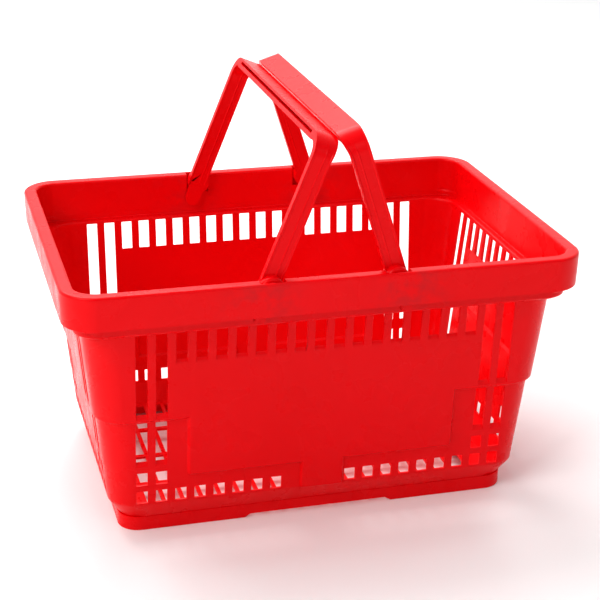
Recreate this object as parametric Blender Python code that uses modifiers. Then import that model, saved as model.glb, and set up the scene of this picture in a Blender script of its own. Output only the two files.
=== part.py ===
"""Plastic shopping basket with two swinging bail handles.

The basket is one open moulding: a deep rim channel, a ledge inside the rim, slotted
tapered walls with a small step half way down, a chamfer, a lattice floor and a base
ring that stands on four corner feet. Each handle is one U-shaped moulding that hangs
on a short pin in the rim channel at each end and swings about the Y axis.

Frame: +X along the basket's length, +Z up, origin under the middle of the base.
Units: metres. Angles: degrees.
"""
from math import cos, pi, radians, sin

import bmesh
import bpy
from mathutils import Matrix, Vector

# Rim
RIM_LENGTH = 0.430
RIM_WIDTH = 0.303
RIM_HEIGHT = 0.227
RIM_RADIUS = 0.030
RIM_STRIP = 0.0112
SKIRT_HEIGHT = 0.0284
WALL = 0.0023

# Ledge inside the rim and the tapered walls below it (inner faces)
LEDGE_Z = 0.190
LEDGE_DEPTH = 0.0074
LEDGE_RADIUS = 0.027
END_TAPER = 0.104
SIDE_TAPER = 0.083
STEP_Z = 0.1084
STEP_DEPTH = 0.0027
STEP_HEIGHT = 0.0025
WALL_FOOT_Z = 0.0278
WALL_FOOT_RADIUS = 0.021

# Floor and base ring
FLOOR_TOP = 0.011
FLOOR_LENGTH = 0.334
FLOOR_WIDTH = 0.2136
FLOOR_RADIUS = 0.018
BASE_LENGTH = 0.3412
BASE_WIDTH = 0.2208
BASE_TOP = 0.0118
FOOT_LIFT = 0.0031
LONG_FOOT_GAP = 0.125
SHORT_FOOT_GAP = 0.080

# Slots: columns stand side by side, each in one or more tiers (low edge, high edge)
SLOT_PITCH = 0.01615
SLOT_WIDTH = 0.0095
SILL_DROP = 0.0050
SIDE_COLUMNS = 20
END_COLUMNS = 12
LONG_COLUMNS_EACH_SIDE = 2
SHORT_TIER = (0.1622, 0.1885)
LONG_TIERS = ((0.1147, 0.1885), (0.0694, 0.1060), (0.0470, 0.0590))
BOTTOM_TIER = (0.0300, 0.0412)
BOTTOM_BLANK = (-0.030, 0.012)

# Raised field in the middle of each long side, under the step
PANEL_X = (-0.1155, 0.1105)
PANEL_FOOT_Z = 0.0548
PANEL_TAIL_X = (-0.0195, 0.0165)
PANEL_TAIL_Z = 0.0300
PANEL_SET = 0.0001
PANEL_LAP = 0.001

# Floor lattice: bars run front to back, ribs run across them
FLOOR_BAR = 0.0036
FLOOR_ROWS = 4
FLOOR_ROW_PITCH = 0.0515
FLOOR_RIB = 0.0045
FLOOR_CUT_Z = (0.004, 0.016)

# Handles, in the frame of an upright handle with its pivot at the origin
PIVOT_X = 0.0515
PIVOT_Z = 0.220
LEFT_LEAN = 22.0
RIGHT_LEAN = 18.1
GRIP_WIDTH = 0.0192
LEG_WIDTH = 0.0164
LEG_THICKNESS = 0.0055
GRIP_THICKNESS = 0.0086
HANDLE_RISE = 0.1258
HANDLE_BEND = 0.018
LEG_GAP = 0.0006
GROOVE_DROP = 0.0022
GROOVE_HEIGHT = 0.0027
GROOVE_DEPTH = 0.0115
GROOVE_LENGTH = 0.236
HUB_RADIUS = 0.0098
HUB_REACH = 0.1460
PIN_RADIUS = 0.0030
PIN_ROOT = 0.0020
PIN_REACH = 0.1489
TAIL_LENGTH = 0.0290
TAIL_WIDTH = 0.0084
TAIL_THICKNESS = 0.0030
TAIL_SET = 0.0001
TOE_LENGTH = 0.0225
TOE_WIDTH = 0.0120
TOE_ROOT = 0.0156
TOE_SET = 0.0001

# Pockets in the rim that carry the handles
RUNNING_GAP = 0.0004
BOSS_RADIUS = 0.0064
BOSS_LENGTH = 0.0028

CORNER_STEPS = 6
BEND_STEPS = 6
ROUND_STEPS = 24
OVERSHOOT = 0.004
FAR = 0.5
TINY = 1e-6

RED = (0.78, 0.004, 0.012, 1.0)


def clear_scene():
    """Remove every object, mesh, curve and material of the opened file."""
    for thing in list(bpy.data.objects):
        bpy.data.objects.remove(thing, do_unlink=True)
    for store in (bpy.data.meshes, bpy.data.curves, bpy.data.materials):
        for block in list(store):
            store.remove(block)


def new_collection(name):
    collection = bpy.data.collections.new(name)
    bpy.context.scene.collection.children.link(collection)
    return collection


def red_plastic(name):
    """Glossy coloured polypropylene."""
    material = bpy.data.materials.new(name)
    material.use_nodes = True
    shader = material.node_tree.nodes["Principled BSDF"]
    shader.inputs["Base Color"].default_value = RED
    shader.inputs["Roughness"].default_value = 0.3
    shader.inputs["Metallic"].default_value = 0.0
    return material


def add_object(name, bm, collection):
    """Turn a bmesh into an object with its faces turned outwards."""
    bmesh.ops.recalc_face_normals(bm, faces=bm.faces)
    mesh = bpy.data.meshes.new(name)
    bm.to_mesh(mesh)
    bm.free()
    thing = bpy.data.objects.new(name, mesh)
    collection.objects.link(thing)
    return thing


def hide_tool(tool):
    tool.hide_render = True
    tool.display_type = "WIRE"


def apply_tool(target, tool, operation):
    """Cut the target with a tool, or join the tool to it."""
    hide_tool(tool)
    modifier = target.modifiers.new(tool.name, "BOOLEAN")
    modifier.operation = operation
    modifier.solver = "EXACT"
    modifier.object = tool


def rounded_rectangle(length, width, radius, z):
    """Corner points of a rounded rectangle, one arc for each corner."""
    points = []
    for quarter in range(4):
        start = quarter * pi / 2
        side_x = 1 if quarter in (0, 3) else -1
        side_y = 1 if quarter in (0, 1) else -1
        centre = Vector((side_x * (length / 2 - radius), side_y * (width / 2 - radius), z))
        for step in range(CORNER_STEPS + 1):
            angle = start + step * pi / 2 / CORNER_STEPS
            points.append(centre + Vector((radius * cos(angle), radius * sin(angle), 0)))
    return points


def add_ring(bm, points):
    return [bm.verts.new(point) for point in points]


def loft(bm, rings):
    """Band of faces between each ring and the next; returns the vertices by ring."""
    loops = [add_ring(bm, ring) for ring in rings]
    for upper, lower in zip(loops, loops[1:]):
        for index in range(len(upper)):
            after = (index + 1) % len(upper)
            bm.faces.new((upper[index], upper[after], lower[after], lower[index]))
    return loops


def inner_size(z):
    """Inner length and width of the body at a height below the ledge."""
    drop = LEDGE_Z - z
    step = STEP_DEPTH if z < STEP_Z else 0.0
    top_length = RIM_LENGTH - 2 * (RIM_STRIP + LEDGE_DEPTH)
    top_width = RIM_WIDTH - 2 * (RIM_STRIP + LEDGE_DEPTH)
    return (top_length - 2 * (drop * END_TAPER + step), top_width - 2 * (drop * SIDE_TAPER + step))


def inner_ring(z, radius):
    length, width = inner_size(z)
    return rounded_rectangle(length, width, radius, z)


def body_sheet(collection):
    """The upper and inner skin of the basket, thickened away from the inside."""
    rim_inner = RIM_RADIUS - RIM_STRIP
    inner_length = RIM_LENGTH - 2 * RIM_STRIP
    inner_width = RIM_WIDTH - 2 * RIM_STRIP
    rings = [
        rounded_rectangle(RIM_LENGTH, RIM_WIDTH, RIM_RADIUS, RIM_HEIGHT - SKIRT_HEIGHT),
        rounded_rectangle(RIM_LENGTH, RIM_WIDTH, RIM_RADIUS, RIM_HEIGHT),
        rounded_rectangle(inner_length, inner_width, rim_inner, RIM_HEIGHT),
        rounded_rectangle(inner_length, inner_width, rim_inner, LEDGE_Z),
        inner_ring(LEDGE_Z, LEDGE_RADIUS),
        inner_ring(STEP_Z + STEP_HEIGHT, LEDGE_RADIUS),
        inner_ring(STEP_Z - TINY, LEDGE_RADIUS - STEP_DEPTH),
        inner_ring(WALL_FOOT_Z, WALL_FOOT_RADIUS),
        rounded_rectangle(FLOOR_LENGTH, FLOOR_WIDTH, FLOOR_RADIUS, FLOOR_TOP),
    ]
    bm = bmesh.new()
    loops = loft(bm, rings)
    bm.faces.new(loops[-1])
    mesh = bpy.data.meshes.new("basket_body")
    bm.to_mesh(mesh)
    bm.free()
    body = bpy.data.objects.new("basket_body", mesh)
    collection.objects.link(body)
    skin = body.modifiers.new("wall", "SOLIDIFY")
    skin.thickness = WALL
    skin.offset = -1.0
    skin.use_even_offset = True
    return body


def base_ring(cutters):
    """Upright ring under the floor that carries the feet."""
    length = BASE_LENGTH - 2 * WALL
    width = BASE_WIDTH - 2 * WALL
    outside = [rounded_rectangle(BASE_LENGTH, BASE_WIDTH, FLOOR_RADIUS, z) for z in (0.0, BASE_TOP)]
    inside = [rounded_rectangle(length, width, FLOOR_RADIUS - WALL, z) for z in (BASE_TOP, 0.0)]
    bm = bmesh.new()
    loft(bm, outside + inside + outside[:1])
    bmesh.ops.remove_doubles(bm, verts=bm.verts, dist=1e-5)
    return add_object("base_ring_tool", bm, cutters)


def add_box(bm, low, high):
    """Add a box between two corners and return its vertices."""
    made = bmesh.ops.create_cube(bm, size=1.0)
    size = Vector(high) - Vector(low)
    centre = (Vector(high) + Vector(low)) / 2
    for vert in made["verts"]:
        vert.co = Vector((vert.co.x * size.x, vert.co.y * size.y, vert.co.z * size.z)) + centre
    return made["verts"]


def outer_half_width(z):
    """Outer face of a long wall if it had no step."""
    top = RIM_WIDTH / 2 - RIM_STRIP - LEDGE_DEPTH + WALL
    return top - (LEDGE_Z - z) * SIDE_TAPER


def outer_half_length(z):
    """Outer face of an end wall if it had no step."""
    top = RIM_LENGTH / 2 - RIM_STRIP - LEDGE_DEPTH + WALL
    return top - (LEDGE_Z - z) * END_TAPER


def add_panel_block(bm, span_x, low_z, high_z, side):
    """Block whose outer face carries the upper wall's slope downwards."""
    verts = add_box(bm, (span_x[0], -FAR, low_z), (span_x[1], FAR, high_z))
    for vert in verts:
        outer = outer_half_width(vert.co.z) - PANEL_SET
        depth = 0.0 if vert.co.y > 0 else STEP_DEPTH + WALL / 2
        vert.co.y = side * (outer - depth)


def raised_panels(cutters):
    """Fields that stay level with the upper wall below the step."""
    bm = bmesh.new()
    top = STEP_Z + 2 * STEP_HEIGHT
    for side in (1, -1):
        add_panel_block(bm, PANEL_X, PANEL_FOOT_Z, top, side)
    panels = add_object("raised_panels_tool", bm, cutters)
    bm = bmesh.new()
    for side in (1, -1):
        add_panel_block(bm, PANEL_TAIL_X, PANEL_TAIL_Z, PANEL_FOOT_Z + PANEL_LAP, side)
    tails = add_object("panel_tails_tool", bm, cutters)
    return panels, tails


def column_centres(count):
    return [(index - (count - 1) / 2) * SLOT_PITCH for index in range(count)]


def slot_tiers(index, count, x, has_blank):
    """Tiers of one column: long ones near the corners, a short one elsewhere."""
    near_corner = min(index, count - 1 - index) < LONG_COLUMNS_EACH_SIDE
    tiers = list(LONG_TIERS) if near_corner else [SHORT_TIER]
    blank = has_blank and BOTTOM_BLANK[0] < x < BOTTOM_BLANK[1]
    if not blank:
        tiers.append(BOTTOM_TIER)
    return tiers


def add_slot(bm, centre, tier, wall_out, turn):
    """Cutter for one slot; its sill falls towards the outside of the wall."""
    low, high = tier
    middle = wall_out((low + high) / 2)
    half = SLOT_WIDTH / 2
    inside = middle - OVERSHOOT - WALL - STEP_DEPTH
    verts = add_box(bm, (centre - half, inside, low), (centre + half, middle + OVERSHOOT, high))
    slope = SILL_DROP / (WALL + STEP_DEPTH)
    for vert in verts:
        if vert.co.z < (low + high) / 2 and tier is not BOTTOM_TIER:
            vert.co.z -= (vert.co.y - wall_out(low) + WALL) * slope
    bmesh.ops.transform(bm, matrix=turn, verts=verts)


def wall_slots(cutters):
    """Every slot of the four walls as one cutter."""
    bm = bmesh.new()
    for turn_angle, direction in ((0, 1), (180, -1)):
        turn = Matrix.Rotation(radians(turn_angle), 4, "Z")
        for index, centre in enumerate(column_centres(SIDE_COLUMNS)):
            for tier in slot_tiers(index, SIDE_COLUMNS, direction * centre, True):
                add_slot(bm, centre, tier, outer_half_width, turn)
    for turn_angle in (90, 270):
        turn = Matrix.Rotation(radians(turn_angle), 4, "Z")
        for index, centre in enumerate(column_centres(END_COLUMNS)):
            for tier in slot_tiers(index, END_COLUMNS, centre, False):
                add_slot(bm, centre, tier, outer_half_length, turn)
    return add_object("slots_tool", bm, cutters)


def floor_openings(cutters):
    """Openings between the bars and ribs of the floor, inside a solid border."""
    bm = bmesh.new()
    half_x = (SLOT_PITCH - FLOOR_BAR) / 2
    half_y = (FLOOR_ROW_PITCH - FLOOR_RIB) / 2
    for x in column_centres(SIDE_COLUMNS)[1:-1]:
        for row in range(FLOOR_ROWS):
            y = (row - (FLOOR_ROWS - 1) / 2) * FLOOR_ROW_PITCH
            add_box(bm, (x - half_x, y - half_y, FLOOR_CUT_Z[0]),
                    (x + half_x, y + half_y, FLOOR_CUT_Z[1]))
    return add_object("floor_openings_tool", bm, cutters)


def foot_gaps(cutters):
    """Cutter that lifts the base ring between the corner feet."""
    bm = bmesh.new()
    half = LONG_FOOT_GAP / 2
    add_box(bm, (-half, -FAR, -OVERSHOOT), (half, FAR, FOOT_LIFT))
    sides = add_object("long_foot_gap_tool", bm, cutters)
    bm = bmesh.new()
    half = SHORT_FOOT_GAP / 2
    add_box(bm, (-FAR, -half, -OVERSHOOT), (FAR, half, FOOT_LIFT))
    ends = add_object("short_foot_gap_tool", bm, cutters)
    return sides, ends


def add_cylinder_y(bm, radius, x, y_from, y_to, z):
    """Add a cylinder along Y."""
    turn = Matrix.Rotation(pi / 2, 4, "X")
    place = Matrix.Translation((x, (y_from + y_to) / 2, z))
    made = bmesh.ops.create_cone(
        bm, cap_ends=True, segments=ROUND_STEPS, radius1=radius, radius2=radius,
        depth=abs(y_to - y_from), matrix=place @ turn)
    return made["verts"]


def pocket_cutters(cutters):
    """Round-bottomed notches for the handle hubs, open at the top of the rim."""
    radius = HUB_RADIUS + RUNNING_GAP
    inner = RIM_WIDTH / 2 - RIM_STRIP - OVERSHOOT
    outer = RIM_WIDTH / 2 - WALL
    bm = bmesh.new()
    for x in (-PIVOT_X, PIVOT_X):
        for side in (-1, 1):
            add_cylinder_y(bm, radius, x, side * inner, side * outer, PIVOT_Z)
    rounds = add_object("pocket_rounds_tool", bm, cutters)
    bm = bmesh.new()
    for x in (-PIVOT_X, PIVOT_X):
        for side in (-1, 1):
            low_y, high_y = sorted((side * inner, side * outer))
            add_box(bm, (x - radius, low_y, PIVOT_Z), (x + radius, high_y, RIM_HEIGHT + OVERSHOOT))
    mouths = add_object("pocket_mouths_tool", bm, cutters)
    return rounds, mouths


def pin_bosses(cutters):
    """Bosses on the inside of the skirt and the blind holes in them."""
    skirt = RIM_WIDTH / 2 - WALL
    bosses = bmesh.new()
    holes = bmesh.new()
    for x in (-PIVOT_X, PIVOT_X):
        for side in (-1, 1):
            start = side * (skirt - BOSS_LENGTH)
            add_cylinder_y(bosses, BOSS_RADIUS, x, start, side * (skirt + WALL / 2), PIVOT_Z)
            add_cylinder_y(
                holes, PIN_RADIUS + RUNNING_GAP, x, start - side * OVERSHOOT,
                side * (skirt + RUNNING_GAP), PIVOT_Z)
    return (add_object("bosses_tool", bosses, cutters), add_object("pin_holes_tool", holes, cutters))


def make_body(parts, cutters):
    """One moulding: rim, walls, floor, base ring, slots and handle pockets."""
    body = body_sheet(parts)
    apply_tool(body, base_ring(cutters), "UNION")
    for tool in raised_panels(cutters):
        apply_tool(body, tool, "UNION")
    apply_tool(body, wall_slots(cutters), "DIFFERENCE")
    apply_tool(body, floor_openings(cutters), "DIFFERENCE")
    for tool in foot_gaps(cutters):
        apply_tool(body, tool, "DIFFERENCE")
    for tool in pocket_cutters(cutters):
        apply_tool(body, tool, "DIFFERENCE")
    bosses, holes = pin_bosses(cutters)
    apply_tool(body, bosses, "UNION")
    apply_tool(body, holes, "DIFFERENCE")
    body.data.materials.append(red_plastic("basket_red"))
    return body


def bail_outline():
    """Outline of the U-shaped strap, seen along X, from one foot to the other."""
    reach = RIM_WIDTH / 2 - RIM_STRIP - LEG_GAP
    inner_bend = HANDLE_BEND - LEG_THICKNESS
    outside = [(reach, 0.0)]
    inside = [(reach - LEG_THICKNESS, 0.0)]
    for step in range(BEND_STEPS + 1):
        angle = step * pi / 2 / BEND_STEPS
        outside.append((reach - HANDLE_BEND * (1 - cos(angle)),
                        HANDLE_RISE - HANDLE_BEND * (1 - sin(angle))))
        inside.append((reach - LEG_THICKNESS - inner_bend * (1 - cos(angle)),
                       HANDLE_RISE - GRIP_THICKNESS - inner_bend * (1 - sin(angle))))
    half = outside + [(-y, z) for y, z in reversed(outside)]
    return half + [(-y, z) for y, z in inside] + list(reversed(inside))


def draw_out(name, points, reach, collection):
    """Prism from a flat outline drawn out by a vector."""
    bm = bmesh.new()
    face = bm.faces.new([bm.verts.new(point) for point in points])
    drawn = bmesh.ops.extrude_face_region(bm, geom=[face])
    moved = [item for item in drawn["geom"] if isinstance(item, bmesh.types.BMVert)]
    bmesh.ops.translate(bm, verts=moved, vec=reach)
    return add_object(name, bm, collection)


def make_strap(name, collection):
    """The strap: its outline drawn out over the grip's width."""
    points = [(-GRIP_WIDTH / 2, y, z) for y, z in bail_outline()]
    return draw_out(name, points, (GRIP_WIDTH, 0, 0), collection)


def leg_trim(name, cutters, inner_side):
    """Cutter that narrows the legs on the side facing the other handle."""
    edge = inner_side * GRIP_WIDTH / 2
    leg_edge = edge - inner_side * (GRIP_WIDTH - LEG_WIDTH)
    clear = edge + inner_side * OVERSHOOT
    shoulder = HANDLE_RISE - HANDLE_BEND
    outline = ((leg_edge, -OVERSHOOT), (clear, -OVERSHOOT), (clear, HANDLE_RISE + OVERSHOOT),
               (edge, HANDLE_RISE), (leg_edge, shoulder))
    points = [(x, -FAR, z) for x, z in outline]
    return draw_out(f"{name}_trim_tool", points, (0, 2 * FAR, 0), cutters)


def handle_feet(name, cutters):
    """Hubs, tails and pins at the two ends of a strap, as three tools."""
    leg = RIM_WIDTH / 2 - RIM_STRIP - LEG_GAP - LEG_THICKNESS
    hubs = bmesh.new()
    tails = bmesh.new()
    pins = bmesh.new()
    for side in (-1, 1):
        add_cylinder_y(hubs, HUB_RADIUS, 0, side * leg, side * HUB_REACH, 0)
        low_y, high_y = sorted(
            (side * (HUB_REACH - TAIL_THICKNESS), side * (HUB_REACH - TAIL_SET)))
        add_box(tails, (-TAIL_WIDTH / 2, low_y, -TAIL_LENGTH), (TAIL_WIDTH / 2, high_y, 0))
        add_cylinder_y(pins, PIN_RADIUS, 0, side * (HUB_REACH - PIN_ROOT), side * PIN_REACH, 0)
    return [add_object(f"{name}_{kind}_tool", bm, cutters)
            for kind, bm in (("hubs", hubs), ("tails", tails), ("pins", pins))]


def handle_toes(name, cutters):
    """Tapered ends of the legs, which reach down inside the rim almost to the ledge."""
    inner = RIM_WIDTH / 2 - RIM_STRIP - LEG_GAP - LEG_THICKNESS + TOE_SET
    outline = ((-TOE_ROOT / 2, 0), (-TOE_WIDTH / 2, -TOE_LENGTH),
               (TOE_WIDTH / 2, -TOE_LENGTH), (TOE_ROOT / 2, 0))
    tools = []
    for side, place in ((-1, "front"), (1, "back")):
        points = [(x, side * inner, z) for x, z in outline]
        reach = (0, side * (LEG_THICKNESS - 2 * TOE_SET), 0)
        tools.append(draw_out(f"{name}_{place}_toe_tool", points, reach, cutters))
    return tools


def groove_cutter(name, cutters, outer_side):
    """Channel along the grip, open on the side away from the other handle."""
    bm = bmesh.new()
    edge = outer_side * (GRIP_WIDTH / 2 + OVERSHOOT)
    depth = outer_side * (GRIP_WIDTH / 2 - GROOVE_DEPTH)
    low_x, high_x = sorted((edge, depth))
    top = HANDLE_RISE - GROOVE_DROP
    add_box(bm, (low_x, -GROOVE_LENGTH / 2, top - GROOVE_HEIGHT),
            (high_x, GROOVE_LENGTH / 2, top))
    return add_object(f"{name}_groove_tool", bm, cutters)


def make_handle(name, parts, cutters, pivot_x, lean):
    """One bail handle with its origin on its pivot line, leaning as it rests."""
    handle = make_strap(name, parts)
    tools = handle_feet(name, cutters) + handle_toes(name, cutters)
    outer_side = -1 if pivot_x < 0 else 1
    trim = leg_trim(name, cutters, -outer_side)
    groove = groove_cutter(name, cutters, outer_side)
    for thing in [handle, trim, groove] + tools:
        thing.location = (pivot_x, 0, PIVOT_Z)
        thing.rotation_euler = (0, radians(lean), 0)
    apply_tool(handle, trim, "DIFFERENCE")
    for tool in tools:
        apply_tool(handle, tool, "UNION")
    apply_tool(handle, groove, "DIFFERENCE")
    handle.data.materials.append(red_plastic(f"{name}_red"))
    return handle


def main():
    clear_scene()
    parts = new_collection("shopping_basket")
    cutters = new_collection("cutters")
    make_body(parts, cutters)
    make_handle("left_handle", parts, cutters, -PIVOT_X, LEFT_LEAN)
    make_handle("right_handle", parts, cutters, PIVOT_X, -RIGHT_LEAN)


main()
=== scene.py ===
from math import cos, pi, radians, sin, sqrt

import bmesh
import bpy
from mathutils import Matrix, Vector


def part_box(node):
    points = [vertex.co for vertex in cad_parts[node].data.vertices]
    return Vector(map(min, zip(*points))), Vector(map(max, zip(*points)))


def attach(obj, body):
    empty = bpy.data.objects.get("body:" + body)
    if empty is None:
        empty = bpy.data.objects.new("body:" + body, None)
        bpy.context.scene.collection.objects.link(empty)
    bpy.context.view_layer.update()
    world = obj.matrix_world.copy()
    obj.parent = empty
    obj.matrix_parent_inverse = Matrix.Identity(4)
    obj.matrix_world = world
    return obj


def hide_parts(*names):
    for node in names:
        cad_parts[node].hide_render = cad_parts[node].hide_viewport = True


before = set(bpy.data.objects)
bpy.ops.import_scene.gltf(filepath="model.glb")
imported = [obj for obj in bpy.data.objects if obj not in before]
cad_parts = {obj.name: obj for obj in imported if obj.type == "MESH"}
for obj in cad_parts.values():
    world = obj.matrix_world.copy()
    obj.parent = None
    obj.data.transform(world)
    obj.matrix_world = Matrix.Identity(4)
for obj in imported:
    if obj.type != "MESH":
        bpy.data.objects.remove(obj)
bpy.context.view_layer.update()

# Sizes are in metres. The rim comes from the frame; the rest follows the moulding.
BODY_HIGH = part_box("basket_body")[1]
HALF_LENGTH = BODY_HIGH.x
HALF_WIDTH = BODY_HIGH.y
RIM_Z = BODY_HIGH.z
WALL = 0.0020

# Rim channel, read from the skirt's lower edge over the strip and down to the ledge
RIM_RADIUS = 0.030
SKIRT_Z = 0.1986
SKIRT_DRAFT = 0.0007
RIM_FILLET = 0.0024
STRIP_INSET = 0.0112
LIP_Z = 0.1952
LIP_DEPTH = 0.0006
LEDGE_Z = 0.1905
LEDGE_INSET = 0.0186
LEDGE_FILLET = 0.0021
LEDGE_RADIUS = 0.027
FILLET_STEPS = 5
STRIP_ROW = 1 + FILLET_STEPS
POCKET_FLOOR_ROW = 1 + 2 * (FILLET_STEPS + 1)

# Tapered walls, the step in them and the chamfer under them
END_TAPER = 0.104
SIDE_TAPER = 0.083
STEP_TOP_Z = 0.1098
STEP_LOW_Z = 0.1076
STEP_DEPTH = 0.0027
WALL_FOOT_Z = 0.0278
WALL_FOOT_RADIUS = 0.021
FLOOR_Z = 0.011
FLOOR_HALF_LENGTH = 0.167
FLOOR_HALF_WIDTH = 0.1068
FLOOR_RADIUS = 0.018
FLANGE = 0.0030
ARC_STEPS = 14
LAST_LINE_ANGLE = 0.95

# Slots
SLOT_PITCH = 0.01615
SLOT_WIDTH = 0.0095
SILL_DROP = 0.0042
SIDE_COLUMNS = 20
END_COLUMNS = 12
LONG_COLUMNS = 2
SHORT_TIER = (0.1622, 0.1876)
LONG_TIERS = ((0.1147, 0.1876), (0.0694, 0.1060), (0.0470, 0.0590))
BOTTOM_TIER = (0.0300, 0.0412)
BLANK_X = (-0.030, 0.012)
LONG_WALL_DEPTH = 0.045
LONG_WALL_MARGIN = 0.050

# Raised field on the long sides; its edges slope over a short distance
PANEL_X = (-0.1140, 0.1115)
TAIL_X = (-0.0182, 0.0165)
PANEL_Z = 0.0548
TAIL_Z = 0.0300
PANEL_SLOPE = 0.0009

# Floor lattice, base ring and feet
FLOOR_BAR = 0.0036
FLOOR_ROWS = 4
FLOOR_ROW_PITCH = 0.0515
FLOOR_RIB = 0.0045
FLOOR_LOW_Z = 0.0088
FLOOR_TOP_Z = 0.0113
FLOOR_SET = 0.0001
BASE_HALF_LENGTH = 0.1706
BASE_HALF_WIDTH = 0.1104
BASE_TOP = 0.0125
BASE_WALL = 0.0024
FOOT_LIFT = 0.0031
LONG_FOOT_GAP = 0.125
SHORT_FOOT_GAP = 0.080
FOOT_SLOPE = 0.005

# Ribs in the rim channel and bosses that carry the handle pins
RIB_X = (0.0, 0.082, 0.114, 0.146, 0.178)
RIB_Y = (0.0, 0.040, 0.080, 0.112)
RIB_THICKNESS = 0.0016
RIB_LOW_Z = 0.2060
RIB_TOP_Z = 0.2262
RIB_INSETS = (0.0015, 0.0102)
BOSS_RADIUS = 0.0064
BOSS_LENGTH = 0.0028
BOSS_ROOT = 0.0010
SKIRT_INSIDE = 0.0023
PIN_GAP = 0.0004
PIN_HOLE_END = 0.0002

# Handles, in the frame of an upright handle whose pivot is at the origin
PIVOT_X = 0.0515
PIVOT_Z = 0.220
LEFT_LEAN = 22.0
RIGHT_LEAN = -18.1
POCKET_HALF = 0.0102
POCKET_Z = 0.2098
GRIP_HALF = 0.0096
LEG_NARROWING = 0.0028
LEG_THICKNESS = 0.0055
GRIP_THICKNESS = 0.0086
RISE = 0.1258
BEND = 0.018
REACH = 0.1397
BEND_STEPS = 12
LEG_STATIONS = (0.0, 0.030, 0.060, 0.085)
DISH_DEPTH = 0.00045
DISH_EDGE = 0.0013
DISH_SLOPE = 0.0005
RIDGE_HEIGHT = 0.0003
RIDGE_PLACE = 0.60
RIDGE_WIDTH = 0.0008
RIDGE_SLOPE = 0.0004
GROOVE_TOP = 0.1236
GROOVE_LOW = 0.1209
GROOVE_DEPTH = 0.0115
GROOVE_HALF = 0.118
GROOVE_END_STEPS = 8
HUB_RADIUS = 0.0098
HUB_REACH = 0.1460
HUB_ROUNDING = 0.0030
HUB_ROUNDING_STEPS = 5
HUB_SET = 0.0003
PIN_RADIUS = 0.0029
PIN_REACH = 0.1488
PIN_ROOT = 0.0020
TAIL_HALF = 0.0042
TAIL_LENGTH = 0.029
TAIL_THICKNESS = 0.0030
TOE_LENGTH = 0.0225
TOE_ROOT = 0.0078
TOE_TIP = 0.0060
FACE_SET = 0.0001

# Rounded edges, round steps, clearance of cutters and the tolerance of comparisons
SHELL_BEVEL = 0.00042
FLOOR_BEVEL = 0.0004
BASE_BEVEL = 0.0005
HANDLE_BEVEL = 0.0006
SHARP_ANGLE = 32
ROUND_STEPS = 48
OVERSHOOT = 0.004
NEAR = 0.0001

# Colours, wear and painted shade
RED_DEEP = (0.80, 0.0008, 0.0035, 1.0)
RED_BRIGHT = (0.86, 0.0012, 0.0065, 1.0)
SCRATCH = (0.86, 0.12, 0.13, 1.0)
# Painted shade: a darker red in blotches on the skirt round each handle foot, where the feet enter
# the rim and shade falls; the same patch is also made rougher
FOOT_SHADE_RED = (0.42, 0.030, 0.035, 1.0)
FOOT_SHADE_X = (-0.060, 0.062)
FOOT_SHADE_Z = 0.212
FOOT_SHADE_REACH = 0.042
FOOT_SHADE_SCALE = 55.0
FOOT_SHADE_AMOUNT = 0.55
FOOT_PATCH_ROUGHNESS = 0.25
FLOW_SCALE = 9.0
SCRATCH_SCALE = 6.0
SCRATCH_STRETCH = (6.0, 6.0, 90.0)
SCRATCH_TURN = (0.2, 0.1, 0.0)
SCRATCH_COLOUR = 0.10
SCRATCH_WEAR = 0.18
SHEEN_SCALE = 38.0
ROUGHNESS = (0.22, 0.36)
SPECULAR = 0.16
RIPPLE_SCALE = 34.0
RIPPLE_STRENGTH = 0.035
RIPPLE_HEIGHT = 0.0006
GRAIN_SCALE = 700.0
GRAIN_STRENGTH = 0.05
GRAIN_HEIGHT = 0.0002
PAPER_DARK = (0.88, 0.88, 0.88, 1.0)
PAPER_LIGHT = (0.91, 0.91, 0.91, 1.0)
PAPER_SCALE = 3.0
PAPER_ROUGHNESS = 0.9
PAPER_SPECULAR = 0.1

# Camera and surroundings
CAMERA_AT = Vector((-0.3313, -1.2238, 0.6592))
CAMERA_YAW = 0.273
CAMERA_PITCH = 0.382
CAMERA_ROLL = 0.017
LENS = 92.5
SENSOR = 36.0
PAPER_HALF = 9.0
WORLD_FRONT = 0.15
WORLD_BACK = 1.0
WORLD_SPAN = (-0.6, 0.5)
WHITE = (1.0, 1.0, 1.0, 1.0)

# Softboxes as (name, place, what they face, size, power)
SOFTBOXES = (
    ("key_left", (-1.9, -1.1, 1.9), (0.0, 0.0, 0.15), 1.4, 33.0),
    ("front_top", (0.55, -1.9, 1.30), (0.0, 0.0, 0.15), 0.9, 4.5),
    ("top_back", (-0.3, 1.3, 2.0), (0.0, 0.0, 0.2), 1.6, 36.0),
)


# --- Objects ---------------------------------------------------------------------------

def add_object(name, bm):
    """Make an object from a bmesh."""
    mesh = bpy.data.meshes.new(name)
    bm.to_mesh(mesh)
    bm.free()
    thing = bpy.data.objects.new(name, mesh)
    bpy.context.scene.collection.objects.link(thing)
    return thing


def clean_object(name, bm):
    """Make an object from a closed bmesh, with its faces turned outwards."""
    bmesh.ops.recalc_face_normals(bm, faces=bm.faces)
    return add_object(name, bm)


def bridge(bm, first, second):
    """Faces between two closed loops of the same number of points."""
    for index in range(len(first)):
        after = (index + 1) % len(first)
        bm.faces.new((first[index], first[after], second[after], second[index]))


def draw_out(name, points, reach):
    """Prism from a flat outline drawn out by a vector."""
    bm = bmesh.new()
    face = bm.faces.new([bm.verts.new(point) for point in points])
    drawn = bmesh.ops.extrude_face_region(bm, geom=[face])
    moved = [item for item in drawn["geom"] if isinstance(item, bmesh.types.BMVert)]
    bmesh.ops.translate(bm, verts=moved, vec=reach)
    return clean_object(name, bm)


def apply_modifiers(thing):
    """Replace the object's mesh by its evaluated mesh."""
    graph = bpy.context.evaluated_depsgraph_get()
    mesh = bpy.data.meshes.new_from_object(thing.evaluated_get(graph))
    thing.modifiers.clear()
    thing.data = mesh


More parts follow.
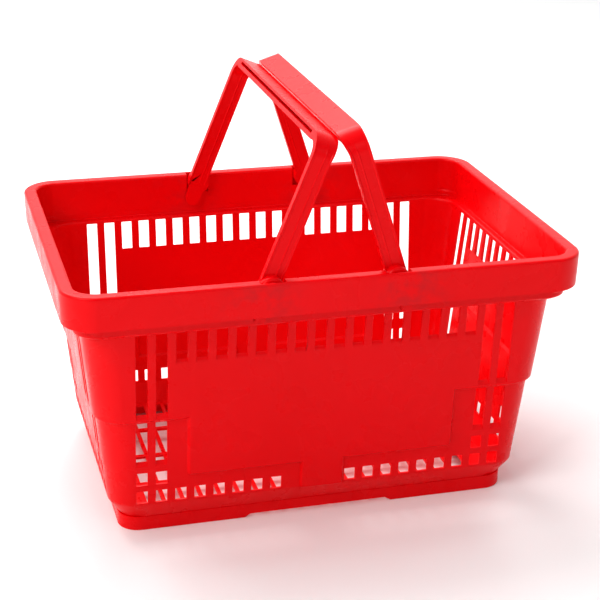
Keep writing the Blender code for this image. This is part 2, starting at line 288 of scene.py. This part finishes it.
def round_edges(thing, width, segments=2, angle=35, clamp=False):
    """Round the edges sharper than an angle, in degrees."""
    modifier = thing.modifiers.new("edges", "BEVEL")
    modifier.width = width
    modifier.segments = segments
    modifier.limit_method = "ANGLE"
    modifier.angle_limit = radians(angle)
    modifier.use_clamp_overlap = clamp
    modifier.miter_outer = "MITER_ARC"
    apply_modifiers(thing)


def shade(thing):
    """Smooth shading with normals that follow the large faces."""
    thing.data.shade_smooth()
    thing.data.set_sharp_from_angle(angle=radians(SHARP_ANGLE))
    weigh = thing.modifiers.new("normals", "WEIGHTED_NORMAL")
    weigh.keep_sharp = True
    apply_modifiers(thing)


def add_box(bm, low, high):
    """Add a closed box between two corners."""
    made = bmesh.ops.create_cube(bm, size=1.0)
    size = Vector(high) - Vector(low)
    centre = (Vector(high) + Vector(low)) / 2
    for vert in made["verts"]:
        vert.co = Vector([a * b for a, b in zip(vert.co, size)]) + centre


def add_cylinder_y(bm, radius, x, y_from, y_to, z):
    """Add a closed cylinder along Y."""
    place = Matrix.Translation((x, (y_from + y_to) / 2, z)) @ Matrix.Rotation(pi / 2, 4, "X")
    bmesh.ops.create_cone(
        bm, cap_ends=True, segments=ROUND_STEPS, radius1=radius, radius2=radius,
        depth=abs(y_to - y_from), matrix=place)


def join_into(target, others):
    """Move the meshes of other objects into the target and drop those objects."""
    bm = bmesh.new()
    bm.from_mesh(target.data)
    for other in others:
        bm.from_mesh(other.data)
        bpy.data.objects.remove(other)
    bm.to_mesh(target.data)
    bm.free()


def cut(target, tool, operation="DIFFERENCE"):
    """Apply one exact boolean and drop its tool."""
    modifier = target.modifiers.new("cut", "BOOLEAN")
    modifier.operation = operation
    modifier.solver = "EXACT"
    modifier.object = tool
    apply_modifiers(target)
    bpy.data.objects.remove(tool)


# --- Perimeter -------------------------------------------------------------------------

def column_centres(count):
    """Middles of the slot columns along a side, or of the openings along the floor."""
    return [(index - (count - 1) / 2) * SLOT_PITCH for index in range(count)]


def slot_lines(count):
    """Coordinates of both edges of every slot along a side."""
    half = SLOT_WIDTH / 2
    return [centre + side * half for centre in column_centres(count) for side in (-1, 1)]


def side_lines():
    """Lines across a long side: slot edges, panel edges and pocket edges."""
    lines = slot_lines(SIDE_COLUMNS)
    for edge in PANEL_X + TAIL_X:
        lines += [edge - PANEL_SLOPE, edge + PANEL_SLOPE]
    for pivot in (-PIVOT_X, PIVOT_X):
        lines += [pivot - POCKET_HALF, pivot + POCKET_HALF]
    return sorted(lines)


def perimeter(long_lines, short_lines):
    """Stations round the basket, anticlockwise from above, as (side, line, fraction).

    Sides 0 to 3 are front, right, back and left. A station on a side has a line across
    that side; a corner station has its fraction of the way round the corner that follows.
    """
    stations = []
    for side, lines in enumerate((long_lines, short_lines, long_lines, short_lines)):
        ordered = lines if side in (0, 1) else reversed(lines)
        stations += [(side, line, None) for line in ordered]
        stations += [(side, None, step / ARC_STEPS) for step in range(1, ARC_STEPS)]
    return stations


def on_side(side, line, half_length, half_width, radius):
    """Point of a rounded rectangle on a line across one of its sides."""
    reach = half_length if side in (0, 2) else half_width
    depth = half_width if side in (0, 2) else half_length
    beyond = max(0.0, abs(line) - (reach - radius))
    depth += sqrt(max(0.0, radius * radius - beyond * beyond)) - radius
    sign = -1 if side in (0, 3) else 1
    if side in (0, 2):
        return Vector((line, sign * depth, 0))
    return Vector((sign * depth, line, 0))


def side_angle(side, line, half_length, half_width, radius):
    """How far round its corner the last line of a side lies, in radians."""
    reach = half_length if side in (0, 2) else half_width
    beyond = max(0.0, abs(line) - (reach - radius))
    return min(beyond / radius, LAST_LINE_ANGLE)


def on_corner(side, fraction, last, following, half_length, half_width, radius):
    """Point on the corner after a side, spread between the lines next to it."""
    start = side_angle(side, last, half_length, half_width, radius)
    stop = pi / 2 - side_angle((side + 1) % 4, following, half_length, half_width, radius)
    angle = start + (stop - start) * fraction + (side - 1) * pi / 2
    sign_x = 1 if side in (0, 1) else -1
    sign_y = -1 if side in (0, 3) else 1
    centre = Vector((sign_x * (half_length - radius), sign_y * (half_width - radius), 0))
    return centre + Vector((radius * cos(angle), radius * sin(angle), 0))


def station_point(station, last_lines, half_length, half_width, radius):
    """Point of a rounded rectangle at a station."""
    side, line, fraction = station
    if fraction is None:
        return on_side(side, line, half_length, half_width, radius)
    last = last_lines[side % 2]
    following = last_lines[(side + 1) % 2]
    return on_corner(side, fraction, last, following, half_length, half_width, radius)


# --- Shell -----------------------------------------------------------------------------

def fillet(centre_inset, centre_z, radius, start, stop):
    """Arc in the wall's section, angles from the inward direction upwards."""
    points = []
    for step in range(FILLET_STEPS + 1):
        angle = radians(start + (stop - start) * step / FILLET_STEPS)
        points.append((centre_inset + radius * cos(angle), centre_z + radius * sin(angle)))
    return points


def rim_section():
    """Section of the rim as (inset, height), from the skirt's edge to the ledge's lip."""
    points = [(SKIRT_DRAFT, SKIRT_Z)]
    points += fillet(RIM_FILLET, RIM_Z - RIM_FILLET, RIM_FILLET, 180, 90)
    points += fillet(STRIP_INSET - RIM_FILLET, RIM_Z - RIM_FILLET, RIM_FILLET, 90, 0)
    points += [(STRIP_INSET, POCKET_Z), (STRIP_INSET, LIP_Z + LIP_DEPTH)]
    points += [(STRIP_INSET + LIP_DEPTH, LIP_Z - LIP_DEPTH)]
    points += [(STRIP_INSET + LIP_DEPTH, LEDGE_Z + LIP_DEPTH)]
    points += [(STRIP_INSET + 2 * LIP_DEPTH, LEDGE_Z)]
    points += fillet(LEDGE_INSET - LEDGE_FILLET, LEDGE_Z - LEDGE_FILLET, LEDGE_FILLET, 90, 6)
    return points


def wall_levels():
    """Heights below the ledge at which the wall bends or a slot begins or ends."""
    heights = {STEP_TOP_Z, STEP_LOW_Z, WALL_FOOT_Z}
    for tier in (SHORT_TIER, BOTTOM_TIER) + LONG_TIERS:
        heights.update(tier)
    heights.update({PANEL_Z + PANEL_SLOPE, PANEL_Z - PANEL_SLOPE})
    return sorted(heights, reverse=True)


def in_span(value, span):
    """Whether a value lies between the two ends of a span."""
    return span[0] < value < span[1]


def is_raised(station, z):
    """Whether a station of a long side is on its raised field at a height."""
    side, line, fraction = station
    if side in (1, 3) or fraction is not None:
        return False
    if z > PANEL_Z:
        return in_span(line, PANEL_X)
    return in_span(line, TAIL_X) and z > TAIL_Z - PANEL_SLOPE


def wall_point(station, z, last_lines):
    """Point of the wall's inner face; below the step only the raised field stays out."""
    drop = LEDGE_Z - z
    stays_out = z >= STEP_TOP_Z or is_raised(station, z)
    step = 0.0 if stays_out else STEP_DEPTH
    share = drop / (LEDGE_Z - WALL_FOOT_Z)
    radius = LEDGE_RADIUS + share * (WALL_FOOT_RADIUS - LEDGE_RADIUS)
    half_length = HALF_LENGTH - LEDGE_INSET - drop * END_TAPER - step
    half_width = HALF_WIDTH - LEDGE_INSET - drop * SIDE_TAPER - step
    point = station_point(station, last_lines, half_length, half_width, radius)
    point.z = z
    return point


def rim_point(station, inset, z, last_lines):
    """Point of the rim at an inset from its outline and a height."""
    share = max(0.0, (inset - STRIP_INSET) / (LEDGE_INSET - STRIP_INSET))
    concentric = RIM_RADIUS - min(inset, STRIP_INSET)
    radius = concentric + share * (LEDGE_RADIUS - concentric)
    point = station_point(
        station, last_lines, HALF_LENGTH - inset, HALF_WIDTH - inset, radius)
    point.z = z
    return point


def floor_point(station, shrink, last_lines):
    """Point at the foot of the chamfer, or further in by the flange under the floor."""
    point = station_point(
        station, last_lines, FLOOR_HALF_LENGTH - shrink, FLOOR_HALF_WIDTH - shrink,
        FLOOR_RADIUS - shrink)
    point.z = FLOOR_Z
    return point


def column_of(side, place, reach):
    """The slot column within reach of a place along a side, as (index, centre, count)."""
    count = SIDE_COLUMNS if side in (0, 2) else END_COLUMNS
    for index, centre in enumerate(column_centres(count)):
        if abs(place - centre) < reach:
            return index, centre, count
    return None


def tiers_of(side, column):
    """Spans of height that are open in a slot column."""
    index, centre, count = column
    near_corner = min(index, count - 1 - index) < LONG_COLUMNS
    tiers = list(LONG_TIERS) if near_corner else [SHORT_TIER]
    if side in (1, 3) or not in_span(centre, BLANK_X):
        tiers.append(BOTTOM_TIER)
    return tiers


def cell_middle(here, after):
    """Place along a side midway between two stations, or None at a corner."""
    if here[2] is not None or after[2] is not None or after[0] != here[0]:
        return None
    return (here[1] + after[1]) / 2


def is_open(here, after, high, low):
    """Whether the cell between two stations and two levels lies in a slot."""
    side = here[0]
    middle = cell_middle(here, after)
    column = None if middle is None else column_of(side, middle, SLOT_WIDTH / 2)
    if column is None:
        return False
    return any(in_span((high + low) / 2, tier) for tier in tiers_of(side, column))


def in_pocket(here, after):
    """Whether a cell's stations lie inside a handle pocket of a long side."""
    middle = cell_middle(here, after)
    if here[0] in (1, 3) or middle is None:
        return False
    return abs(abs(middle) - PIVOT_X) < POCKET_HALF


def is_left_out(row, here, after, wall_row, heights):
    """Whether a cell of the skin is missing, for a handle pocket or a slot."""
    if STRIP_ROW <= row < POCKET_FLOOR_ROW:
        return in_pocket(here, after)
    level = row - wall_row
    if 0 <= level < len(heights) - 1:
        return is_open(here, after, heights[level], heights[level + 1])
    return False


def skin_levels(stations, last_lines, heights):
    """Rows of points from the skirt's edge over the rim and down to the floor's flange."""
    levels = [[rim_point(station, inset, z, last_lines) for station in stations]
              for inset, z in rim_section()]
    levels += [[wall_point(station, z, last_lines) for station in stations] for z in heights]
    levels += [[floor_point(station, shrink, last_lines) for station in stations]
               for shrink in (0.0, FLANGE)]
    return levels


def basket_skin():
    """Rim, ledge, walls and chamfer as one open surface with its gaps."""
    long_lines = side_lines()
    short_lines = slot_lines(END_COLUMNS)
    stations = perimeter(long_lines, short_lines)
    last_lines = (long_lines[-1], short_lines[-1])
    heights = wall_levels()
    wall_row = len(rim_section())
    bm = bmesh.new()
    rows = [[bm.verts.new(point) for point in level]
            for level in skin_levels(stations, last_lines, heights)]
    for row, (upper, lower) in enumerate(zip(rows, rows[1:])):
        for index, here in enumerate(stations):
            other = (index + 1) % len(stations)
            if not is_left_out(row, here, stations[other], wall_row, heights):
                bm.faces.new((upper[index], upper[other], lower[other], lower[index]))
    loose = [vert for vert in bm.verts if not vert.link_faces]
    bmesh.ops.delete(bm, geom=loose, context="VERTS")
    return add_object("basket_shell", bm)


def basket_shell():
    """The skin thickened into one moulding, with sloping sills and rounded edges."""
    shell = basket_skin()
    inner_count = len(shell.data.vertices)
    skin = shell.modifiers.new("wall", "SOLIDIFY")
    skin.thickness = WALL
    skin.offset = -1.0
    skin.use_even_offset = True
    apply_modifiers(shell)
    slope_sills(shell, inner_count)
    round_edges(shell, SHELL_BEVEL)
    return shell


def slope_sills(shell, inner_count):
    """Lower the outer edge of every sill, so that it falls away from the inside."""
    sills = (SHORT_TIER[0], LONG_TIERS[0][0], LONG_TIERS[1][0])
    verts = shell.data.vertices
    for index in range(inner_count):
        inner = verts[index].co
        if any(abs(inner.z - sill) < NEAR for sill in sills) and near_opening(inner):
            verts[index + inner_count].co.z -= SILL_DROP


def near_opening(point):
    """Whether a point of the skin lies on the lower edge of a slot."""
    on_long_wall = (abs(point.y) > HALF_WIDTH - LONG_WALL_DEPTH
                    and abs(point.x) < HALF_LENGTH - LONG_WALL_MARGIN)
    side, place = (0, point.x) if on_long_wall else (1, point.y)
    column = column_of(side, place, SLOT_WIDTH / 2 + NEAR)
    if column is None:
        return False
    return any(abs(point.z - tier[0]) < NEAR for tier in tiers_of(side, column))


# --- Floor, base ring and the inside of the rim ----------------------------------------

def plate_ring(half_length, half_width, radius, z):
    """Points round a rounded rectangle at a height."""
    points = []
    for quarter in range(4):
        centre_x = (half_length - radius) * (1 if quarter in (0, 3) else -1)
        centre_y = (half_width - radius) * (1 if quarter in (0, 1) else -1)
        for step in range(ARC_STEPS + 1):
            angle = (quarter + step / ARC_STEPS) * pi / 2
            points.append((centre_x + radius * cos(angle), centre_y + radius * sin(angle), z))
    return points


def floor_lattice():
    """Floor plate with its openings inside a solid border."""
    outline = plate_ring(FLOOR_HALF_LENGTH - FLOOR_SET, FLOOR_HALF_WIDTH - FLOOR_SET,
                         FLOOR_RADIUS, FLOOR_LOW_Z)
    plate = draw_out("floor_plate", outline, (0, 0, FLOOR_TOP_Z - FLOOR_LOW_Z))
    bm = bmesh.new()
    half_x = (SLOT_PITCH - FLOOR_BAR) / 2
    half_y = (FLOOR_ROW_PITCH - FLOOR_RIB) / 2
    for x in column_centres(SIDE_COLUMNS)[1:-1]:
        for row in range(FLOOR_ROWS):
            y = (row - (FLOOR_ROWS - 1) / 2) * FLOOR_ROW_PITCH
            add_box(bm, (x - half_x, y - half_y, 0.0),
                    (x + half_x, y + half_y, 2 * FLOOR_TOP_Z))
    cut(plate, clean_object("floor_openings", bm))
    round_edges(plate, FLOOR_BEVEL)
    return plate


def foot_height(point):
    """Lower edge of the base ring: level feet at the corners, lifted in between."""
    on_long_side = abs(point.y) > BASE_HALF_WIDTH - BASE_WALL - NEAR
    gap = LONG_FOOT_GAP if on_long_side else SHORT_FOOT_GAP
    beyond = abs(point.x if on_long_side else point.y) - gap / 2
    share = min(1.0, max(0.0, 0.5 - beyond / FOOT_SLOPE))
    return FOOT_LIFT * share


def ring_lines(gap, straight):
    """Lines across a side of the ring: both ends of every foot's slope and of the side."""
    bends = [sign * gap / 2 + offset
             for sign in (-1, 1) for offset in (-FOOT_SLOPE / 2, FOOT_SLOPE / 2)]
    return sorted(bends + [-straight, straight])


def base_ring():
    """Upright ring under the floor with its four corner feet."""
    long_lines = ring_lines(LONG_FOOT_GAP, BASE_HALF_LENGTH - FLOOR_RADIUS)
    short_lines = ring_lines(SHORT_FOOT_GAP, BASE_HALF_WIDTH - FLOOR_RADIUS)
    stations = perimeter(long_lines, short_lines)
    last_lines = (long_lines[-1], short_lines[-1])
    bm = bmesh.new()
    rings = []
    for shrink, is_top in ((0.0, True), (0.0, False), (BASE_WALL, False), (BASE_WALL, True)):
        ring = []
        for station in stations:
            point = station_point(
                station, last_lines, BASE_HALF_LENGTH - shrink, BASE_HALF_WIDTH - shrink,
                FLOOR_RADIUS - shrink)
            point.z = BASE_TOP if is_top else foot_height(point)
            ring.append(bm.verts.new(point))
        rings.append(ring)
    for upper, lower in zip(rings, rings[1:] + rings[:1]):
        bridge(bm, upper, lower)
    ring = clean_object("base_ring", bm)
    round_edges(ring, BASE_BEVEL)
    return ring


def mirrored(places):
    """Every place and its mirror image, each once."""
    return sorted({sign * place for place in places for sign in (-1, 1)})


def channel_ribs():
    """Ribs between the skirt and the inner wall of the rim, seen from below."""
    bm = bmesh.new()
    half = RIB_THICKNESS / 2
    for side in (-1, 1):
        near, far = sorted(side * (HALF_WIDTH - inset) for inset in RIB_INSETS)
        for x in mirrored(RIB_X):
            add_box(bm, (x - half, near, RIB_LOW_Z), (x + half, far, RIB_TOP_Z))
        near, far = sorted(side * (HALF_LENGTH - inset) for inset in RIB_INSETS)
        for y in mirrored(RIB_Y):
            add_box(bm, (near, y - half, RIB_LOW_Z), (far, y + half, RIB_TOP_Z))
    return clean_object("channel_ribs", bm)


def pin_bosses():
    """Bosses on the inside of the skirt with a blind hole for each handle pin."""
    bm = bmesh.new()
    holes = bmesh.new()
    inside = HALF_WIDTH - SKIRT_INSIDE
    for x in (-PIVOT_X, PIVOT_X):
        for side in (-1, 1):
            start = side * (inside - BOSS_LENGTH)
            add_cylinder_y(bm, BOSS_RADIUS, x, start, side * (inside + BOSS_ROOT), PIVOT_Z)
            add_cylinder_y(holes, PIN_RADIUS + PIN_GAP, x, start - side * OVERSHOOT,
                           side * (inside + PIN_HOLE_END), PIVOT_Z)
    bosses = clean_object("pin_bosses", bm)
    cut(bosses, clean_object("pin_holes", holes))
    return bosses


# --- Handles ---------------------------------------------------------------------------

def strap_path():
    """Stations along the U's outer line, each with its inward direction.

    A station is (y, z, inward y, inward z, thickness, share of the bend).
    """
    stations = [(REACH, z, -1.0, 0.0, LEG_THICKNESS, 0.0) for z in LEG_STATIONS]
    for step in range(BEND_STEPS + 1):
        share = step / BEND_STEPS
        angle = share * pi / 2
        y = REACH - BEND * (1 - cos(angle))
        z = RISE - BEND * (1 - sin(angle))
        thickness = LEG_THICKNESS + (GRIP_THICKNESS - LEG_THICKNESS) * share * share
        stations.append((y, z, -cos(angle), -sin(angle), thickness, share))
    other_half = [(-y, z, -inward_y, inward_z, thickness, share)
                  for y, z, inward_y, inward_z, thickness, share in reversed(stations)]
    return stations + [(0.0, RISE, 0.0, -1.0, GRIP_THICKNESS, 1.0)] + other_half


def face_profile(share):
    """Across one face of the strap: (fraction of the width, further offset, recess)."""
    dish = DISH_DEPTH * (1 - share)
    crest = dish - RIDGE_HEIGHT * (1 - share)
    return [(0.0, 0.0, 0.0), (0.0, DISH_EDGE, 0.0), (0.0, DISH_EDGE + DISH_SLOPE, dish),
            (RIDGE_PLACE, -RIDGE_SLOPE, dish), (RIDGE_PLACE, 0.0, crest),
            (RIDGE_PLACE, RIDGE_WIDTH, crest), (RIDGE_PLACE, RIDGE_WIDTH + RIDGE_SLOPE, dish),
            (1.0, -DISH_EDGE - DISH_SLOPE, dish), (1.0, -DISH_EDGE, 0.0), (1.0, 0.0, 0.0)]


def inner_edge(z):
    """Half width towards the other handle at a height on the strap."""
    share = min(1.0, max(0.0, (z - (RISE - BEND)) / BEND))
    return GRIP_HALF - LEG_NARROWING * (1 - share)


def strap_section(station):
    """Closed section of the strap at one station, as points."""
    y, z, inward_y, inward_z, thickness, share = station
    profile = face_profile(share)
    points = []
    for depth, sign, face in ((0.0, 1, profile), (thickness, -1, reversed(profile))):
        width = GRIP_HALF + inner_edge(z + inward_z * depth)
        for fraction, offset, recess in face:
            inset = depth + sign * recess
            points.append(Vector((-GRIP_HALF + fraction * width + offset,
                                  y + inward_y * inset, z + inward_z * inset)))
    return points


def strap(name):
    """The U-shaped strap as one closed sweep."""
    bm = bmesh.new()
    rings = [[bm.verts.new(point) for point in strap_section(station)]
             for station in strap_path()]
    for first, second in zip(rings, rings[1:]):
        bridge(bm, first, second)
    bm.faces.new(rings[0])
    bm.faces.new(list(reversed(rings[-1])))
    return clean_object(name, bm)


def groove_tool():
    """Slot with round ends along the grip, open on the side away from the other handle."""
    radius = (GROOVE_TOP - GROOVE_LOW) / 2
    middle = (GROOVE_TOP + GROOVE_LOW) / 2
    near = -GRIP_HALF - OVERSHOOT
    outline = []
    for end in (1, -1):
        for step in range(GROOVE_END_STEPS + 1):
            angle = end * (pi / 2 - pi * step / GROOVE_END_STEPS)
            outline.append((near, end * (GROOVE_HALF - radius + radius * cos(angle)),
                            middle + radius * sin(angle)))
    return draw_out("groove", outline, (GROOVE_DEPTH + OVERSHOOT, 0, 0))


def foot_tools():
    """Hub, tail and pin at each end of the strap, as closed tools."""
    hubs = bmesh.new()
    tails = bmesh.new()
    pins = bmesh.new()
    for side in (-1, 1):
        add_cylinder_y(hubs, HUB_RADIUS, 0, side * (REACH - LEG_THICKNESS + HUB_SET),
                       side * HUB_REACH, 0)
        low, high = sorted(
            (side * (HUB_REACH - TAIL_THICKNESS), side * (HUB_REACH - FACE_SET)))
        add_box(tails, (-TAIL_HALF, low, -TAIL_LENGTH), (TAIL_HALF, high, 0))
        add_cylinder_y(pins, PIN_RADIUS, 0, side * (HUB_REACH - PIN_ROOT), side * PIN_REACH, 0)
    round_hub_edges(hubs)
    return [clean_object(name, bm) for name, bm in (("hub", hubs), ("tail", tails), ("pin", pins))]


def toe_tools():
    """Tapered end of each leg, round at its tip, which reaches down inside the rim."""
    outline = [(-TOE_ROOT, 0.0)]
    for step in range(BEND_STEPS + 1):
        angle = pi + pi * step / BEND_STEPS
        outline.append((TOE_TIP * cos(angle), TOE_TIP - TOE_LENGTH + TOE_TIP * sin(angle)))
    outline.append((TOE_ROOT, 0.0))
    tools = []
    for side in (-1, 1):
        inner = side * (REACH - LEG_THICKNESS + FACE_SET)
        outer = side * (REACH - FACE_SET)
        points = [(x, inner, z) for x, z in outline]
        tools.append(draw_out("toe", points, (0, outer - inner, 0)))
    return tools


def round_hub_edges(bm):
    """Round the outer edge of every hub, so that the foot runs into the leg."""
    edges = [edge for edge in bm.edges
             if all(abs(abs(vert.co.y) - HUB_REACH) < NEAR for vert in edge.verts)]
    bmesh.ops.bevel(bm, geom=edges, offset=HUB_ROUNDING, segments=HUB_ROUNDING_STEPS,
                    affect="EDGES", profile=0.5)


def make_handle(name, pivot_x, lean):
    """One bail handle, turned about its pivot into its resting lean."""
    handle = strap(name)
    for tool in foot_tools() + toe_tools():
        cut(handle, tool, "UNION")
    cut(handle, groove_tool())
    round_edges(handle, HANDLE_BEVEL, segments=3, angle=40, clamp=True)
    if pivot_x > 0:
        handle.data.transform(Matrix.Rotation(pi, 4, "Z"))
    lay = Matrix.Rotation(radians(lean), 4, "Y")
    handle.data.transform(Matrix.Translation((pivot_x, 0, PIVOT_Z)) @ lay)
    return handle


# --- Materials -------------------------------------------------------------------------

class Nodes:
    """Short names for building the nodes of a material."""

    def __init__(self, material):
        material.use_nodes = True
        self.tree = material.node_tree
        self.shader = self.tree.nodes["Principled BSDF"]

    def add(self, kind, **values):
        """A new node with its settings."""
        node = self.tree.nodes.new(kind)
        for key, value in values.items():
            setattr(node, key, value)
        return node

    def link(self, source, target):
        """Join an output to an input."""
        self.tree.links.new(source, target)

    def noise(self, vector, scale, detail=3.0, roughness=0.5):
        """Noise from 0 to 1 at a position."""
        node = self.add("ShaderNodeTexNoise")
        node.inputs["Scale"].default_value = scale
        node.inputs["Detail"].default_value = detail
        node.inputs["Roughness"].default_value = roughness
        self.link(vector, node.inputs["Vector"])
        return node.outputs["Fac"]

    def spread(self, value, low, high, to_low=0.0, to_high=1.0):
        """A value's span from low to high stretched over another span, and held there."""
        node = self.add("ShaderNodeMapRange")
        for name, number in (("From Min", low), ("From Max", high),
                             ("To Min", to_low), ("To Max", to_high)):
            node.inputs[name].default_value = number
        self.link(value, node.inputs["Value"])
        return node.outputs["Result"]

    def math(self, operation, first, second):
        """Sum or product of two outputs, or of an output and a number."""
        node = self.add("ShaderNodeMath", operation=operation)
        for socket, value in zip(node.inputs, (first, second)):
            if isinstance(value, (int, float)):
                socket.default_value = value
            else:
                self.link(value, socket)
        return node.outputs[0]

    def bump(self, height, strength, distance):
        """A bump node that follows a height."""
        node = self.add("ShaderNodeBump")
        node.inputs["Strength"].default_value = strength
        node.inputs["Distance"].default_value = distance
        self.link(height, node.inputs["Height"])
        return node

    def mix_colour(self, factor, first, second):
        """From the first colour to the second as the factor goes from 0 to 1."""
        node = self.add("ShaderNodeMix", data_type="RGBA")
        self.link(factor, node.inputs[0])
        for socket, value in ((node.inputs[6], first), (node.inputs[7], second)):
            if isinstance(value, tuple):
                socket.default_value = value
            else:
                self.link(value, socket)
        return node.outputs[2]


def foot_shade_mask(nodes, position):
    """Painted shade: 1 in dark blotches on the skirt below the handle feet, where shade falls, 0
    elsewhere.
    """
    total = None
    for x in FOOT_SHADE_X:
        for side in (-1, 1):
            distance = nodes.add("ShaderNodeVectorMath", operation="DISTANCE")
            nodes.link(position, distance.inputs[0])
            distance.inputs[1].default_value = (x, side * HALF_WIDTH, FOOT_SHADE_Z)
            near = nodes.spread(distance.outputs["Value"], FOOT_SHADE_REACH, 0.0)
            total = near if total is None else nodes.math("ADD", total, near)
    blotches = nodes.spread(nodes.noise(position, FOOT_SHADE_SCALE, 5.0, 0.62), 0.42, 0.66)
    return nodes.math("MULTIPLY", total, blotches)


def scratch_mask(nodes, position):
    """1 in fine level scratches, 0 elsewhere."""
    stretch = nodes.add("ShaderNodeMapping")
    stretch.inputs["Scale"].default_value = SCRATCH_STRETCH
    stretch.inputs["Rotation"].default_value = SCRATCH_TURN
    nodes.link(position, stretch.inputs["Vector"])
    return nodes.spread(nodes.noise(stretch.outputs[0], SCRATCH_SCALE, 6.0, 0.7), 0.66, 0.74)


def red_plastic(name, has_foot_shade):
    """Glossy polypropylene with faint flow marks and fine scratches; when asked, also painted
    shade round the handle feet.
    """
    material = bpy.data.materials.new(name)
    nodes = Nodes(material)
    shader = nodes.shader
    position = nodes.add("ShaderNodeTexCoord").outputs["Object"]
    flow = nodes.spread(nodes.noise(position, FLOW_SCALE, 2.0), 0.2, 0.8)
    colour = nodes.mix_colour(flow, RED_DEEP, RED_BRIGHT)
    scratches = scratch_mask(nodes, position)
    colour = nodes.mix_colour(nodes.math("MULTIPLY", scratches, SCRATCH_COLOUR), colour, SCRATCH)
    added_roughness = nodes.math("MULTIPLY", scratches, SCRATCH_WEAR)
    # Painted shade: darker blotches on the rim round the handle feet, where the feet meet the rim;
    # the same patch is made rougher
    if has_foot_shade:
        foot_shade = foot_shade_mask(nodes, position)
        colour = nodes.mix_colour(nodes.math("MULTIPLY", foot_shade, FOOT_SHADE_AMOUNT), colour, FOOT_SHADE_RED)
        added_roughness = nodes.math("ADD", added_roughness, nodes.math("MULTIPLY", foot_shade, FOOT_PATCH_ROUGHNESS))
    nodes.link(colour, shader.inputs["Base Color"])
    sheen = nodes.spread(nodes.noise(position, SHEEN_SCALE, 4.0), 0.3, 0.7, *ROUGHNESS)
    nodes.link(nodes.math("ADD", sheen, added_roughness), shader.inputs["Roughness"])
    shader.inputs["Specular IOR Level"].default_value = SPECULAR
    ripple = nodes.bump(nodes.noise(position, RIPPLE_SCALE, 2.0), RIPPLE_STRENGTH, RIPPLE_HEIGHT)
    grain = nodes.bump(nodes.noise(position, GRAIN_SCALE, 2.0), GRAIN_STRENGTH, GRAIN_HEIGHT)
    nodes.link(ripple.outputs[0], grain.inputs["Normal"])
    nodes.link(grain.outputs[0], shader.inputs["Normal"])
    return material


def pale_paper():
    """Matt near-white paper."""
    material = bpy.data.materials.new("studio_paper")
    nodes = Nodes(material)
    shader = nodes.shader
    position = nodes.add("ShaderNodeTexCoord").outputs["Object"]
    tone = nodes.spread(nodes.noise(position, PAPER_SCALE, 3.0), 0.3, 0.7)
    nodes.link(nodes.mix_colour(tone, PAPER_DARK, PAPER_LIGHT), shader.inputs["Base Color"])
    shader.inputs["Roughness"].default_value = PAPER_ROUGHNESS
    shader.inputs["Specular IOR Level"].default_value = PAPER_SPECULAR
    return material


# --- Camera, floor and light -----------------------------------------------------------

def add_camera():
    """Camera that looks along +Y, turned right by the yaw, down by the pitch."""
    data = bpy.data.cameras.new("camera")
    data.lens = LENS
    data.sensor_width = SENSOR
    camera = bpy.data.objects.new("camera", data)
    bpy.context.scene.collection.objects.link(camera)
    turn = Matrix.Rotation(-CAMERA_YAW, 4, "Z")
    tilt = Matrix.Rotation(pi / 2 - CAMERA_PITCH, 4, "X")
    roll = Matrix.Rotation(CAMERA_ROLL, 4, "Z")
    camera.matrix_world = Matrix.Translation(CAMERA_AT) @ turn @ tilt @ roll
    bpy.context.scene.camera = camera


def add_floor():
    """Large sheet of paper that the basket stands on."""
    bm = bmesh.new()
    bmesh.ops.create_grid(bm, x_segments=1, y_segments=1, size=PAPER_HALF)
    floor = clean_object("studio_floor", bm)
    floor.data.materials.append(pale_paper())


def add_softbox(name, at, towards, size, power):
    """Square area light that faces a point."""
    data = bpy.data.lights.new(name, "AREA")
    data.size = size
    data.energy = power
    light = bpy.data.objects.new(name, data)
    bpy.context.scene.collection.objects.link(light)
    aim = (Vector(towards) - Vector(at)).to_track_quat("-Z", "Y")
    light.matrix_world = Matrix.Translation(at) @ aim.to_matrix().to_4x4()


def add_world():
    """White surroundings, bright behind and dimmer on the camera's side."""
    world = bpy.data.worlds.new("studio")
    world.use_nodes = True
    tree = world.node_tree
    direction = tree.nodes.new("ShaderNodeTexCoord").outputs["Generated"]
    parts = tree.nodes.new("ShaderNodeSeparateXYZ")
    tree.links.new(direction, parts.inputs[0])
    ramp = tree.nodes.new("ShaderNodeMapRange")
    for name, number in (("From Min", WORLD_SPAN[0]), ("From Max", WORLD_SPAN[1]),
                         ("To Min", WORLD_FRONT), ("To Max", WORLD_BACK)):
        ramp.inputs[name].default_value = number
    tree.links.new(parts.outputs["Y"], ramp.inputs["Value"])
    tree.links.new(ramp.outputs["Result"], tree.nodes["Background"].inputs["Strength"])
    tree.nodes["Background"].inputs["Color"].default_value = WHITE
    bpy.context.scene.world = world


# --- Build -----------------------------------------------------------------------------

def finish_piece(thing, body, material):
    """Give a piece its material and shading, and the body that it moves with."""
    thing.data.materials.clear()
    thing.data.materials.append(material)
    shade(thing)
    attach(thing, body)


shell = basket_shell()
join_into(shell, [floor_lattice(), base_ring(), channel_ribs(), pin_bosses()])
# The basket's plastic carries the painted shade round the handle feet
finish_piece(shell, "basket", red_plastic("basket_red_plastic", True))
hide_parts("basket_body")

handle_material = red_plastic("handle_red_plastic", False)
for name, node, body, pivot_x, lean in (
        ("left_bail_handle", "left_handle", "left_bail", -PIVOT_X, LEFT_LEAN),
        ("right_bail_handle", "right_handle", "right_bail", PIVOT_X, RIGHT_LEAN)):
    handle = make_handle(name, pivot_x, lean)
    finish_piece(handle, body, handle_material)
    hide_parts(node)

add_camera()
add_floor()
add_world()
for softbox in SOFTBOXES:
    add_softbox(*softbox)
bpy.context.scene.view_settings.view_transform = "Standard"
bpy.context.scene.view_settings.look = "Medium High Contrast"
